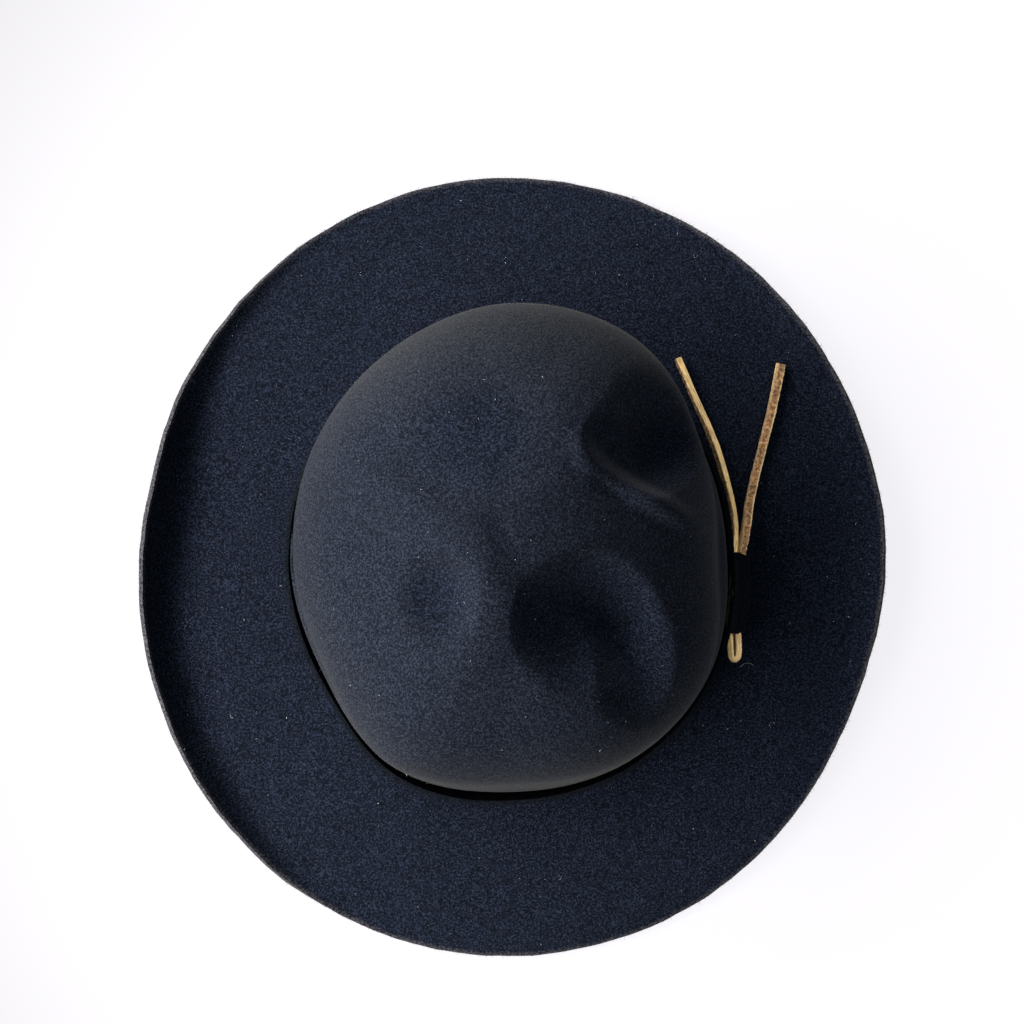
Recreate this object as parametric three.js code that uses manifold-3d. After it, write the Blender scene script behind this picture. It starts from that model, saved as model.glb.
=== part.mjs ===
// Soft wool felt hat with a wide brim, a hand-dented open crown, a felt band and a leather lace.
// Millimetres, +Z up, front of the hat towards -Y. It rests on its brim on the plane z = 0.
// Angles are in degrees around the crown's axis, from +X towards +Y, so 270 is the front.

import * as THREE from 'three';
import { mergeVertices } from 'three/addons/utils/BufferGeometryUtils.js';
import Module from 'manifold-3d';

// Driving dimensions
const FELT = 2.2; // wall of the crown and the brim
const BRIM_HEIGHT = 12.2; // top of the brim where it meets the crown
const BREAK = 3.0; // bend between crown and brim
const SETTLED = 0.12; // an underside this close to the surface is pressed flat on it
const CREASE = 0.83; // where the pressed shoulder starts, as a share of the shoulder's reach
const DENT_LOW = 40; // the dents fade out down the wall, from DENT_HIGH to DENT_LOW
const DENT_HIGH = 75;
const BAND = 2.0; // thickness of the band
const BAND_LOW = 15.4; // its lower and upper edge
const BAND_HIGH = 35.0;
const CLEAR = 0.35; // gap between pieces that lie on each other
const LACE_FACE = 3.2; // leather lace: across its faces, and through its thickness
const LACE_EDGE = 2.6;
const LACE_CHAMFER = 0.5;
const LACE_HEIGHT = 25.0; // middle of the slits that the lace runs through
const SLIT_HEIGHT = 5.2; // opening that a slit is pulled to, up and along the band
const SLIT_LENGTH = 3.6;
const SLIT_CUT = 4.6;
const FRONT_SLIT = -29.5; // where the two slits are, along Y
const BACK_SLIT = 5.5;
const BULGE_FLAT = 2.2; // the band bulges over the lace: fully this far from its middle
const BULGE_TALL = 10; // and no more this far from it
const BULGE_SLACK = 2.4; // room between band and lace

// How fine the faces are
const AROUND = 64;
const BAND_ROWS = [BAND_LOW, 19.0, 22.4, 27.6, 31.5, BAND_HIGH];
const BAND_REACH = 95; // of the band beside the lace
const CUT_DEPTH = 30; // of the cutters that make the slits
const CROWN_RINGS = 24;
const BRIM_STATIONS = [0, 0.16, 0.34, 0.5, 0.65, 0.77, 0.87, 0.945, 1];

// Outline from above: how far each line reaches from the axis, and how far the shoulder is pressed down
const OUTLINE = [
  { angle: 0, brim: 159.5, foot: 90.5, shoulder: 81.5, press: 0 },
  { angle: 30, brim: 162.6, foot: 91.8, shoulder: 88.0, press: 0 },
  { angle: 60, brim: 167.8, foot: 95.0, shoulder: 98.3, press: 2 },
  { angle: 90, brim: 170.4, foot: 97.0, shoulder: 100.8, press: 6 },
  { angle: 120, brim: 166.8, foot: 95.5, shoulder: 95.5, press: 11 },
  { angle: 150, brim: 160.4, foot: 93.0, shoulder: 90.7, press: 9 },
  { angle: 180, brim: 156.8, foot: 92.2, shoulder: 86.5, press: 3 },
  { angle: 210, brim: 161.1, foot: 92.0, shoulder: 86.8, press: 0 },
  { angle: 240, brim: 164.9, foot: 98.5, shoulder: 93.9, press: 0 },
  { angle: 270, brim: 166.4, foot: 97.5, shoulder: 90.6, press: 0 },
  { angle: 300, brim: 163.8, foot: 96.0, shoulder: 91.2, press: 0 },
  { angle: 330, brim: 158.0, foot: 94.5, shoulder: 89.3, press: 0 },
];

// Brim edge: height of its underside before the roll, and the width and height of the rolled-up strip.
// Below zero it is pressed flat on the surface that the hat rests on.
const EDGE = [
  { angle: 0, lift: 9, rollWidth: 14, roll: 5 },
  { angle: 30, lift: 6, rollWidth: 16, roll: 5 },
  { angle: 60, lift: 2, rollWidth: 12, roll: 3 },
  { angle: 90, lift: -2.5, rollWidth: 8, roll: 0 },
  { angle: 120, lift: 1, rollWidth: 6, roll: 1.5 },
  { angle: 144, lift: 6, rollWidth: 9, roll: 6 },
  { angle: 168, lift: 9, rollWidth: 18, roll: 14 },
  { angle: 192, lift: 8, rollWidth: 14, roll: 10 },
  { angle: 216, lift: 4, rollWidth: 8, roll: 5 },
  { angle: 245, lift: 0, rollWidth: 6, roll: 1 },
  { angle: 270, lift: -2.5, rollWidth: 6, roll: 0 },
  { angle: 300, lift: 2, rollWidth: 6, roll: 1 },
  { angle: 330, lift: 8, rollWidth: 8, roll: 2 },
];

// Crown from its foot up: height, how far it has left the foot's outline for the shoulder's, and size
const CROWN = [
  { height: 15.2, blend: 0.0, size: 1.0 },
  { height: 34.0, blend: 0.12, size: 1.0 },
  { height: 56.0, blend: 0.55, size: 1.0 },
  { height: 80.0, blend: 1.0, size: 1.0 },
  { height: 92.0, blend: 1.0, size: 0.972 },
  { height: 102.0, blend: 1.0, size: 0.905 },
  { height: 110.5, blend: 1.0, size: 0.8 },
  { height: 116.5, blend: 1.0, size: 0.655 },
  { height: 120.5, blend: 1.0, size: 0.47 },
  { height: 122.5, blend: 1.0, size: 0.24 },
  { height: 123.0, blend: 1.0, size: 0.0 },
];

// Dents of the crown's top: deepest point, the direction of the steep side, how far the dent reaches
// that way, away from it and to both sides, its depth, and how crisp its edge is (2 is soft, 1 is sharp)
const DENTS = [
  { x: -28, y: 56, turn: 125, near: 26, far: 40, across: 50, depth: 7, crisp: 1.4 }, // back left dish
  { x: 59, y: 30, turn: 243, near: 18, far: 46, across: 46, depth: 18, crisp: 1.5 }, // back right hollow
  { x: 38, y: -30, turn: 20, near: 26, far: 46, across: 36, depth: 9, crisp: 1.6 }, // front right hollow
  { x: 23, y: -20, turn: 30, near: 15, far: 28, across: 23, depth: 11, crisp: 1.4 }, // its left leg
  { x: 46, y: -39, turn: 5, near: 19, far: 24, across: 31, depth: 12, crisp: 1.6 }, // its right leg
  { x: 31, y: -46, turn: 0, near: 12, far: 12, across: 16, depth: -4, crisp: 2.0 }, // bump between them
  { x: 74, y: -10, turn: 0, near: 20, far: 34, across: 30, depth: 6, crisp: 2.0 }, // dip beside the hollow
  { x: -21, y: -14, turn: 20, near: 17, far: 32, across: 42, depth: 9, crisp: 1.5 }, // front left dent
];

// Band: how far its upper edge stands off the crown
const BAND_STAND = [
  { angle: 0, stand: 0.5 },
  { angle: 45, stand: 0.6 },
  { angle: 90, stand: 0.6 },
  { angle: 135, stand: 0.5 },
  { angle: 180, stand: 0.5 },
  { angle: 204, stand: 1.2 },
  { angle: 226, stand: 0.5 },
  { angle: 262, stand: 3.0 },
  { angle: 292, stand: 1.6 },
  { angle: 325, stand: 0.5 },
];

const radians = THREE.MathUtils.degToRad;

// Value of a table's column at any angle, on a smooth closed line through its rows
function column(table, name, angle) {
  const turn = THREE.MathUtils.euclideanModulo(angle, 360);
  const row = (i) => {
    const lap = Math.floor(i / table.length);
    const entry = table[i - lap * table.length];
    return { angle: entry.angle + 360 * lap, value: entry[name] };
  };
  let i = table.length - 1;
  while (table[i].angle > turn) {
    i -= 1;
  }
  const [before, start, end, after] = [row(i - 1), row(i), row(i + 1), row(i + 2)];
  const width = end.angle - start.angle;
  const slopeIn = (width * (end.value - before.value)) / (end.angle - before.angle);
  const slopeOut = (width * (after.value - start.value)) / (after.angle - start.angle);
  const t = (turn - start.angle) / width;
  const t2 = t * t;
  const t3 = t2 * t;
  return (
    (2 * t3 - 3 * t2 + 1) * start.value +
    (t3 - 2 * t2 + t) * slopeIn +
    (3 * t2 - 2 * t3) * end.value +
    (t3 - t2) * slopeOut
  );
}

// Depth that all dents together give at a place of the crown's top
function dentDepth(x, y) {
  let total = 0;
  for (const dent of DENTS) {
    const c = Math.cos(radians(dent.turn));
    const s = Math.sin(radians(dent.turn));
    const along = (x - dent.x) * c + (y - dent.y) * s;
    const side = (y - dent.y) * c - (x - dent.x) * s;
    const u = along / (along > 0 ? dent.near : dent.far);
    const v = side / dent.across;
    const far = Math.hypot(u, v);
    if (far < 1) {
      const back = 0.5 - (0.5 * u) / Math.max(far, 1e-6);
      const power = dent.crisp + (2 - dent.crisp) * back;
      total += dent.depth * (1 - far * far) ** power;
    }
  }
  return total;
}

// Height of the brim's top at a distance from the axis
function brimTop(angle, reach) {
  const foot = column(OUTLINE, 'foot', angle);
  const edge = column(OUTLINE, 'brim', angle);
  const lift = column(EDGE, 'lift', angle);
  const rollWidth = column(EDGE, 'rollWidth', angle);
  const roll = column(EDGE, 'roll', angle);
  const start = BRIM_HEIGHT - FELT;
  const share = (reach - foot) / (edge - foot);
  const rolled = Math.max(0, 1 - (edge - reach) / rollWidth);
  const under = start + (lift - start) * share + roll * rolled * rolled;
  return Math.max(under, 0) + FELT;
}

// Points down one side of the hat, from the middle of the crown to the edge of the brim
function outerLine(angle) {
  const foot = column(OUTLINE, 'foot', angle);
  const shoulder = column(OUTLINE, 'shoulder', angle);
  const edge = column(OUTLINE, 'brim', angle);
  const press = column(OUTLINE, 'press', angle);
  const rows = CROWN.map(
    ({ height, blend, size }) =>
      new THREE.Vector3((foot + (shoulder - foot) * blend) * size, 0, height),
  );
  const crown = new THREE.CatmullRomCurve3(rows.reverse(), false, 'centripetal');
  const line = crown.getSpacedPoints(CROWN_RINGS);
  const c = Math.cos(radians(angle));
  const s = Math.sin(radians(angle));
  for (const point of line) {
    const pressed = THREE.MathUtils.clamp((point.x / shoulder - CREASE) / (1 - CREASE), 0, 1);
    const depth = dentDepth(point.x * c, point.x * s) + press * pressed ** 1.2;
    point.z -= depth * THREE.MathUtils.smoothstep(point.z, DENT_LOW, DENT_HIGH);
  }
  const start = foot + BREAK;
  for (const station of BRIM_STATIONS) {
    const reach = start + (edge - start) * station;
    line.push(new THREE.Vector3(reach, 0, brimTop(angle, reach)));
  }
  return line.map((point) => new THREE.Vector3(point.x * c, point.x * s, point.z));
}

// Reach of the crown's wall at a height of the band
function wallReach(angle, height) {
  const line = outerLine(angle).slice(0, CROWN_RINGS + 1);
  const lower = line.findIndex((point) => point.z < height);
  const below = line[lower];
  const above = line[lower - 1];
  const share = (height - below.z) / (above.z - below.z);
  return THREE.MathUtils.lerp(Math.hypot(below.x, below.y), Math.hypot(above.x, above.y), share);
}

// A lathed blank whose rings are then moved to where place(angle, ring) says
function blocked(angles, rings, place) {
  const profile = Array.from({ length: rings }, (_, ring) => new THREE.Vector2(1, ring));
  const geometry = new THREE.LatheGeometry(profile, angles.length);
  const position = geometry.attributes.position;
  for (let i = 0; i <= angles.length; i += 1) {
    const turn = angles[(angles.length - i) % angles.length];
    for (let ring = 0; ring < rings; ring += 1) {
      const point = place(turn, ring);
      position.setXYZ(i * rings + ring, point.x, point.y, point.z);
    }
  }
  geometry.computeVertexNormals();
  return geometry;
}

// Crown and brim in one: the outer sheet, its edge, and the same sheet again one felt further in
function feltBody() {
  const angles = Array.from({ length: AROUND }, (_, i) => (360 * i) / AROUND);
  const outer = angles.map(outerLine);
  const last = outer[0].length - 1;
  const inner = outer.map((line, i) => {
    const next = outer[(i + 1) % AROUND];
    const previous = outer[(i + AROUND - 1) % AROUND];
    return line.map((point, ring) => {
      if (ring === 0) {
        return new THREE.Vector3(0, 0, point.z - FELT);
      }
      const around = next[ring].clone().sub(previous[ring]);
      const down = line[Math.min(ring + 1, last)].clone().sub(line[ring - 1]);
      const normal = down.cross(around).normalize();
      const under = point.clone().addScaledVector(normal, -FELT);
      under.z = under.z < SETTLED ? 0 : under.z;
      return under;
    });
  });
  const rings = last + 1;
  return blocked(angles, 2 * rings, (turn, ring) => {
    const i = Math.round((turn * AROUND) / 360);
    return ring < rings ? outer[i][ring] : inner[i][2 * rings - 1 - ring];
  });
}

// How far the band bulges over the lace, at an angle and a height: 1 between the slits, 0 beyond them
function bulge(angle, height) {
  if (Math.cos(radians(angle)) < 0) {
    return 0;
  }
  const y = BAND_REACH * Math.sin(radians(angle));
  const half = SLIT_LENGTH / 2;
  const front = THREE.MathUtils.smoothstep(y, FRONT_SLIT - half, FRONT_SLIT + half);
  const back = 1 - THREE.MathUtils.smoothstep(y, BACK_SLIT - half, BACK_SLIT + half);
  const away = Math.abs(height - LACE_HEIGHT);
  const tall = 1 - THREE.MathUtils.smoothstep(away, BULGE_FLAT, BULGE_TALL);
  return front * back * tall;
}

// Columns of the band: one over each column of the crown, and one at each end of a slit
function bandAngles() {
  const angles = Array.from({ length: AROUND }, (_, i) => (360 * i) / AROUND);
  for (const slit of [FRONT_SLIT, BACK_SLIT]) {
    for (const end of [slit - SLIT_LENGTH / 2, slit + SLIT_LENGTH / 2]) {
      const turn = THREE.MathUtils.radToDeg(Math.asin(end / BAND_REACH));
      angles.push(THREE.MathUtils.euclideanModulo(turn, 360));
    }
  }
  return angles.sort((one, other) => one - other);
}

// Reach of the band's inner side
function bandReach(angle, height) {
  const share = (height - BAND_LOW) / (BAND_HIGH - BAND_LOW);
  const stand = column(BAND_STAND, 'stand', angle) * share;
  const rest = wallReach(angle, height) + CLEAR + stand;
  return rest + (2 * (LACE_EDGE + CLEAR) + BULGE_SLACK) * bulge(angle, height);
}

function bandSolid() {
  const rows = BAND_ROWS.length;
  return blocked(bandAngles(), 2 * rows + 1, (turn, ring) => {
    const corner = ring % (2 * rows);
    const outside = corner < rows;
    const row = outside ? rows - 1 - corner : corner - rows;
    const height = BAND_ROWS[row];
    const reach = bandReach(turn, height) + (outside ? BAND : 0);
    const c = Math.cos(radians(turn));
    const s = Math.sin(radians(turn));
    return new THREE.Vector3(reach * c, reach * s, height);
  });
}

// Cuts the two slits out of the band
const library = await Module();
library.setup();

function toSolid(geometry) {
  const bare = geometry.clone();
  bare.deleteAttribute('normal');
  bare.deleteAttribute('uv');
  const merged = mergeVertices(bare, 1e-4);
  return new library.Manifold(
    new library.Mesh({
      numProp: 3,
      vertProperties: new Float32Array(merged.attributes.position.array),
      triVerts: new Uint32Array(merged.index.array),
    }),
  );
}

function toGeometry(solid) {
  const mesh = solid.getMesh();
  const geometry = new THREE.BufferGeometry();
  geometry.setAttribute('position', new THREE.BufferAttribute(mesh.vertProperties, 3));
  geometry.setIndex(new THREE.BufferAttribute(mesh.triVerts, 1));
  geometry.computeVertexNormals();
  return geometry;
}

function slitCutter(y) {
  const box = new THREE.BoxGeometry(CUT_DEPTH, SLIT_CUT, SLIT_HEIGHT);
  box.translate(BAND_REACH, y, LACE_HEIGHT);
  return box;
}

function hatBand() {
  let solid = toSolid(bandSolid());
  for (const y of [FRONT_SLIT, BACK_SLIT]) {
    solid = solid.subtract(toSolid(slitCutter(y)));
  }
  return toGeometry(solid);
}

// Lace: a route whose frames keep one side of the strip towards a chosen direction.
// roll turns the strip about its run: at 0 its thickness lies flat, at 90 its broad face lies up.
class LaceRoute extends THREE.CatmullRomCurve3 {
  constructor(rows) {
    super(rows.map(({ x, y, z }) => new THREE.Vector3(x, y, z)), false, 'centripetal');
    this.rolls = rows.map(({ roll }) => roll);
  }

  computeFrenetFrames(segments) {
    const frames = { tangents: [], normals: [], binormals: [] };
    const up = new THREE.Vector3(0, 0, 1);
    for (let i = 0; i <= segments; i += 1) {
      const share = i / segments;
      const tangent = this.getTangentAt(share);
      const at = this.getUtoTmapping(share) * (this.rolls.length - 1);
      const low = Math.min(Math.floor(at), this.rolls.length - 2);
      const roll = THREE.MathUtils.lerp(this.rolls[low], this.rolls[low + 1], at - low);
      const side = new THREE.Vector3().crossVectors(tangent, up).normalize();
      side.applyAxisAngle(tangent, radians(roll));
      frames.tangents.push(tangent);
      frames.normals.push(side);
      frames.binormals.push(new THREE.Vector3().crossVectors(tangent, side).normalize());
    }
    return frames;
  }
}

function laceSection() {
  const w = LACE_EDGE / 2;
  const h = LACE_FACE / 2;
  const section = new THREE.Shape();
  section.moveTo(w, h - LACE_CHAMFER);
  section.lineTo(w - LACE_CHAMFER, h);
  section.lineTo(LACE_CHAMFER - w, h);
  section.lineTo(-w, h - LACE_CHAMFER);
  section.lineTo(-w, LACE_CHAMFER - h);
  section.lineTo(LACE_CHAMFER - w, -h);
  section.lineTo(w - LACE_CHAMFER, -h);
  section.lineTo(w, LACE_CHAMFER - h);
  section.closePath();
  return section;
}

function lace(rows, steps) {
  const extrudePath = new LaceRoute(rows);
  return new THREE.ExtrudeGeometry(laceSection(), { steps, extrudePath, bevelEnabled: false });
}

// The held part: from the back slit along under the band, out of the front slit, round and back again
const HELD_ROUTE = [
  { x: 94.1, y: 4.0, z: 25.0, roll: 0 },
  { x: 93.2, y: 0.5, z: 25.0, roll: 0 },
  { x: 92.6, y: -4.0, z: 25.0, roll: 0 },
  { x: 92.1, y: -10.0, z: 25.0, roll: 0 },
  { x: 91.6, y: -18.0, z: 25.0, roll: 0 },
  { x: 91.0, y: -24.0, z: 25.0, roll: 0 },
  { x: 90.9, y: -27.5, z: 25.0, roll: 0 },
  { x: 91.4, y: -31.0, z: 25.0, roll: 0 },
  { x: 91.0, y: -35.0, z: 25.0, roll: 0 },
  { x: 91.1, y: -38.5, z: 25.0, roll: 0 },
  { x: 91.8, y: -40.6, z: 25.0, roll: -5 },
  { x: 93.3, y: -41.5, z: 25.1, roll: -15 },
  { x: 94.8, y: -40.5, z: 25.2, roll: -20 },
  { x: 95.3, y: -38.0, z: 25.2, roll: -20 },
  { x: 95.3, y: -35.0, z: 25.2, roll: -15 },
  { x: 94.8, y: -31.0, z: 25.0, roll: 0 },
  { x: 93.9, y: -27.5, z: 25.0, roll: 0 },
  { x: 94.0, y: -24.0, z: 25.0, roll: 0 },
  { x: 94.6, y: -18.0, z: 25.0, roll: 0 },
  { x: 95.1, y: -10.0, z: 25.0, roll: 0 },
  { x: 95.6, y: -4.0, z: 25.0, roll: 0 },
  { x: 96.2, y: 0.5, z: 25.0, roll: 0 },
  { x: 97.1, y: 4.0, z: 25.0, roll: 0 },
];

// The two free tails: out of the back slit, down onto the brim and along it
const INNER_ROUTE = [
  { x: 94.25, y: 4.6, z: 25.0, roll: 0 },
  { x: 94.8, y: 8.5, z: 24.7, roll: 0 },
  { x: 95.1, y: 14.0, z: 23.3, roll: 0 },
  { x: 94.7, y: 20.0, z: 20.9, roll: 2 },
  { x: 93.9, y: 25.5, z: 18.3, roll: 4 },
  { x: 92.8, y: 31.0, z: 16.0, roll: 6 },
  { x: 91.4, y: 37.0, z: 14.4, roll: 8 },
  { x: 89.8, y: 43.0, z: 13.9, roll: 10 },
  { x: 88.0, y: 49.0, z: 13.8, roll: 12 },
  { x: 85.9, y: 55.0, z: 13.8, roll: 14 },
  { x: 83.6, y: 61.0, z: 13.7, roll: 15 },
  { x: 81.2, y: 67.0, z: 13.5, roll: 15 },
  { x: 78.6, y: 73.5, z: 13.3, roll: 15 },
  { x: 75.8, y: 80.5, z: 13.0, roll: 15 },
  { x: 72.6, y: 88.4, z: 12.6, roll: 15 },
];
const OUTER_ROUTE = [
  { x: 97.25, y: 4.6, z: 25.0, roll: 0 },
  { x: 98.3, y: 8.5, z: 24.6, roll: -12 },
  { x: 99.4, y: 14.0, z: 23.0, roll: -27 },
  { x: 100.5, y: 20.0, z: 20.3, roll: -42 },
  { x: 101.4, y: 25.5, z: 17.5, roll: -55 },
  { x: 102.8, y: 31.0, z: 15.2, roll: -66 },
  { x: 104.2, y: 37.0, z: 13.7, roll: -74 },
  { x: 105.7, y: 43.0, z: 13.0, roll: -80 },
  { x: 107.2, y: 49.0, z: 12.8, roll: -82 },
  { x: 108.6, y: 55.0, z: 12.5, roll: -82 },
  { x: 110.0, y: 61.0, z: 12.2, roll: -82 },
  { x: 111.3, y: 67.0, z: 11.9, roll: -82 },
  { x: 112.6, y: 73.0, z: 11.5, roll: -82 },
  { x: 113.9, y: 79.5, z: 11.1, roll: -82 },
  { x: 115.2, y: 86.3, z: 10.6, roll: -82 },
];

// Colours
const felt = { color: 0x1d2027, roughness: 0.95, metalness: 0 };
const bandFelt = { color: 0x191c22, roughness: 0.95, metalness: 0 };
const leather = { color: 0xb98f58, roughness: 0.7, metalness: 0 };

const hat = new THREE.Group();

// The crown's axis stands a little off the middle of the brim, which is the origin
const AXIS_X = -1.4;
const AXIS_Y = -2.0;

function add(name, geometry, finish) {
  geometry.translate(AXIS_X, AXIS_Y, 0);
  const mesh = new THREE.Mesh(geometry, new THREE.MeshStandardMaterial(finish));
  mesh.name = name;
  hat.add(mesh);
}

add('felt_body', feltBody(), felt);
add('hat_band', hatBand(), bandFelt);
add('lace_bight', lace(HELD_ROUTE, 60), leather);
add('lace_tail_inner', lace(INNER_ROUTE, 16), leather);
add('lace_tail_outer', lace(OUTER_ROUTE, 16), leather);

export default hat;
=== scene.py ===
# %% [markdown]
# # A soft wool felt hat with a leather lace
#
# A hat like this starts as a cone of thick fulled wool. It is steamed, pulled over a round wooden
# block and left open: nobody presses a crease into the crown, and whoever picks it up pushes the
# top in by hand. The brim is cut raw. A strip of the same felt goes round the crown as a band, and
# a square-cut leather lace is threaded through two slits in it.
#
# The pieces made here lie on the solids of the frame, in metres, +Z up, front towards -Y.

import bpy
import math
import random
import numpy as np
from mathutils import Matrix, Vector, noise


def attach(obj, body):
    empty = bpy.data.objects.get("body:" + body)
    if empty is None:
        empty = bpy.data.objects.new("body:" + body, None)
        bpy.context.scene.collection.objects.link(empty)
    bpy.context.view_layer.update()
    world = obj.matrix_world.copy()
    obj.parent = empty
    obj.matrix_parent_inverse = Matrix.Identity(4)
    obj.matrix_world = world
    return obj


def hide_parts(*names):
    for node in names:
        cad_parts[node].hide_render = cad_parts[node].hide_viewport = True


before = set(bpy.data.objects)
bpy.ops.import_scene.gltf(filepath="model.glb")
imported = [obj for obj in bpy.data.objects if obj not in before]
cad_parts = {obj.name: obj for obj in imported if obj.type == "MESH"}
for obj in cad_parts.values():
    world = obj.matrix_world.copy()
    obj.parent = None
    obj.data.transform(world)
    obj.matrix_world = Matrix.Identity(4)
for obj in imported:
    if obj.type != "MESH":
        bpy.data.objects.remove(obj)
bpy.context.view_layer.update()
MM = 0.001

# %% [markdown]
# ## Where things stand
#
# The crown's axis is a little off the middle of the brim, because the brim is cut by hand. All
# tables below count from that axis, in millimetres, and one function brings a point into the frame.

# %% The crown's axis
AXIS = np.array([-1.4, -2.0, 0.0])


def place(points):
    """Points counted in millimetres from the crown's axis, in metres in the frame."""
    return (np.asarray(points, float) + AXIS) * MM


print("crown axis at", place([[0, 0, 0]])[0])

# %% [markdown]
# ## Camera
#
# The hat is seen from straight above, from a little less than 80 cm, so its crown looks larger
# than it is next to the brim. The camera leans four degrees towards the back of the hat. A lens is
# given by its focal length on a 36 mm wide sensor.

# %% Camera
CAMERA_AT = place([[-5.0, -32.0, 780.0]])[0]
CAMERA_AIM = place([[0.0, 23.3, 0.0]])[0]
LENS = 63.1

aim = CAMERA_AIM - CAMERA_AT
aim = aim / np.linalg.norm(aim)
lean = math.asin(aim[1])
yaw = -math.asin(aim[0] / math.cos(lean))
bpy.ops.object.camera_add(location=CAMERA_AT, rotation=(lean, yaw, 0.0))
camera = bpy.context.object
camera.name = "photo_camera"
camera.data.lens = LENS
camera.data.sensor_width = 36.0
camera.data.clip_start = 0.05
bpy.context.scene.camera = camera
print("camera leans", round(math.degrees(lean), 2), "degrees")

# %% [markdown]
# ## Helpers for lines and tables
#
# Hand-made things are described well by a few measured places with a smooth line through them.
# One helper draws that line through points in space, and one reads a column of a table that
# goes once round the hat.

# %% Smooth lines and tables
def smooth_step(value, low, high):
    """0 below low, 1 above high, with a soft start and end."""
    t = np.clip((value - low) / (high - low), 0.0, 1.0)
    return t * t * (3.0 - 2.0 * t)


def smooth_line(points, between=12):
    """A centripetal line through points[..., point, coordinate], with so many steps between two."""
    p = np.asarray(points, float)
    first = 2 * p[..., :1, :] - p[..., 1:2, :]
    last = 2 * p[..., -1:, :] - p[..., -2:-1, :]
    p = np.concatenate([first, p, last], axis=-2)
    gaps = np.linalg.norm(np.diff(p, axis=-2), axis=-1, keepdims=True) ** 0.5
    t = np.concatenate([np.zeros_like(gaps[..., :1, :]), np.cumsum(gaps, axis=-2)], axis=-2)
    line = []
    for i in range(1, p.shape[-2] - 2):
        t0, t1, t2, t3 = (t[..., k, :] for k in range(i - 1, i + 3))
        p0, p1, p2, p3 = (p[..., k, :] for k in range(i - 1, i + 3))
        for step in range(between):
            s = t1 + (t2 - t1) * step / between
            a1 = p0 + (p1 - p0) * (s - t0) / (t1 - t0)
            a2 = p1 + (p2 - p1) * (s - t1) / (t2 - t1)
            a3 = p2 + (p3 - p2) * (s - t2) / (t3 - t2)
            b1 = a1 + (a2 - a1) * (s - t0) / (t2 - t0)
            b2 = a2 + (a3 - a2) * (s - t1) / (t3 - t1)
            line.append(b1 + (b2 - b1) * (s - t1) / (t2 - t1))
    line.append(p[..., -2, :])
    return np.stack(line, axis=-2)


def along(line):
    """How far along a line each of its points is."""
    steps = np.linalg.norm(np.diff(line, axis=0), axis=1)
    return np.concatenate([[0.0], np.cumsum(steps)])


def spaced(line, count):
    """The same line with so many evenly spaced points."""
    far = along(line)
    at = np.linspace(0.0, far[-1], count)
    return np.stack([np.interp(at, far, line[:, k]) for k in range(line.shape[1])], axis=1)


def round_the_hat(table, column, angle):
    """A column of a table whose rows start with an angle, on a closed smooth line, at any angle."""
    rows = np.array(table, float)
    count = len(rows)
    turn = np.mod(angle, 360.0)
    i = np.searchsorted(rows[:, 0], turn, side="right") - 1

    def row(k):
        lap = np.floor_divide(k, count)
        entry = rows[k - lap * count]
        return entry[..., 0] + 360.0 * lap, entry[..., column]

    (a0, v0), (a1, v1), (a2, v2), (a3, v3) = row(i - 1), row(i), row(i + 1), row(i + 2)
    width = a2 - a1
    t = (turn - a1) / width
    slope_in = width * (v2 - v0) / (a2 - a0)
    slope_out = width * (v3 - v1) / (a3 - a1)
    return (
        (2 * t**3 - 3 * t**2 + 1) * v1
        + (t**3 - 2 * t**2 + t) * slope_in
        + (3 * t**2 - 2 * t**3) * v2
        + (t**3 - t**2) * slope_out
    )


# %% [markdown]
# ## Lace: its three runs
#
# One lace of leather, 3.2 mm across its faces and 2.6 mm thick, is folded in two. The fold sits in
# the front slit of the band, both strands run under the band, and the two ends come out of the
# back slit and lie on the brim. The inner end stands on its cut edge; the outer one has turned over
# and lies flat, its rough flesh side up. Each row of a run is a place and how far the lace is rolled
# over there, in degrees.

# %% Runs of the lace
LACE_FACE = 3.2
LACE_EDGE = 2.6

# x, y, z, roll
HELD_RUN = [
    (94.1, 4.0, 25.0, 22),
    (93.2, 0.5, 25.0, 12),
    (92.6, -4.0, 25.0, 0),
    (92.1, -10.0, 25.0, 0),
    (91.6, -18.0, 25.0, 0),
    (91.0, -24.0, 25.0, 8),
    (91.2, -27.5, 25.0, 20),
    (91.5, -31.0, 25.0, 25),
    (91.6, -34.5, 25.0, 23),
    (91.8, -37.4, 25.0, 22),
    (92.1, -39.3, 25.0, 25),
    (93.1, -39.9, 25.0, 22),
    (94.2, -39.3, 25.0, 18),
    (94.6, -37.4, 25.0, 15),
    (94.7, -34.5, 25.0, 14),
    (94.5, -31.0, 25.0, 12),
    (94.4, -27.5, 25.0, 8),
    (94.3, -24.0, 25.0, 4),
    (94.6, -18.0, 25.0, 0),
    (95.1, -10.0, 25.0, 0),
    (95.6, -4.0, 25.0, 0),
    (96.2, 0.5, 25.0, 0),
    (97.1, 4.0, 25.0, -10),
]
INNER_RUN = [
    (93.1, 4.3, 25.0, 33),
    (93.4, 8.5, 24.7, 38),
    (93.7, 14.0, 23.3, 42),
    (93.6, 20.0, 20.9, 44),
    (93.1, 25.5, 18.3, 43),
    (92.3, 31.0, 16.0, 40),
    (91.1, 37.0, 14.4, 35),
    (89.6, 43.0, 13.9, 34),
    (87.8, 49.0, 13.8, 31),
    (85.6, 55.0, 13.8, 27),
    (83.2, 61.0, 13.7, 22),
    (80.6, 67.0, 13.5, 16),
    (77.8, 73.5, 13.3, 12),
    (74.9, 80.5, 13.0, 10),
    (71.6, 88.9, 12.6, 10),
]
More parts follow.
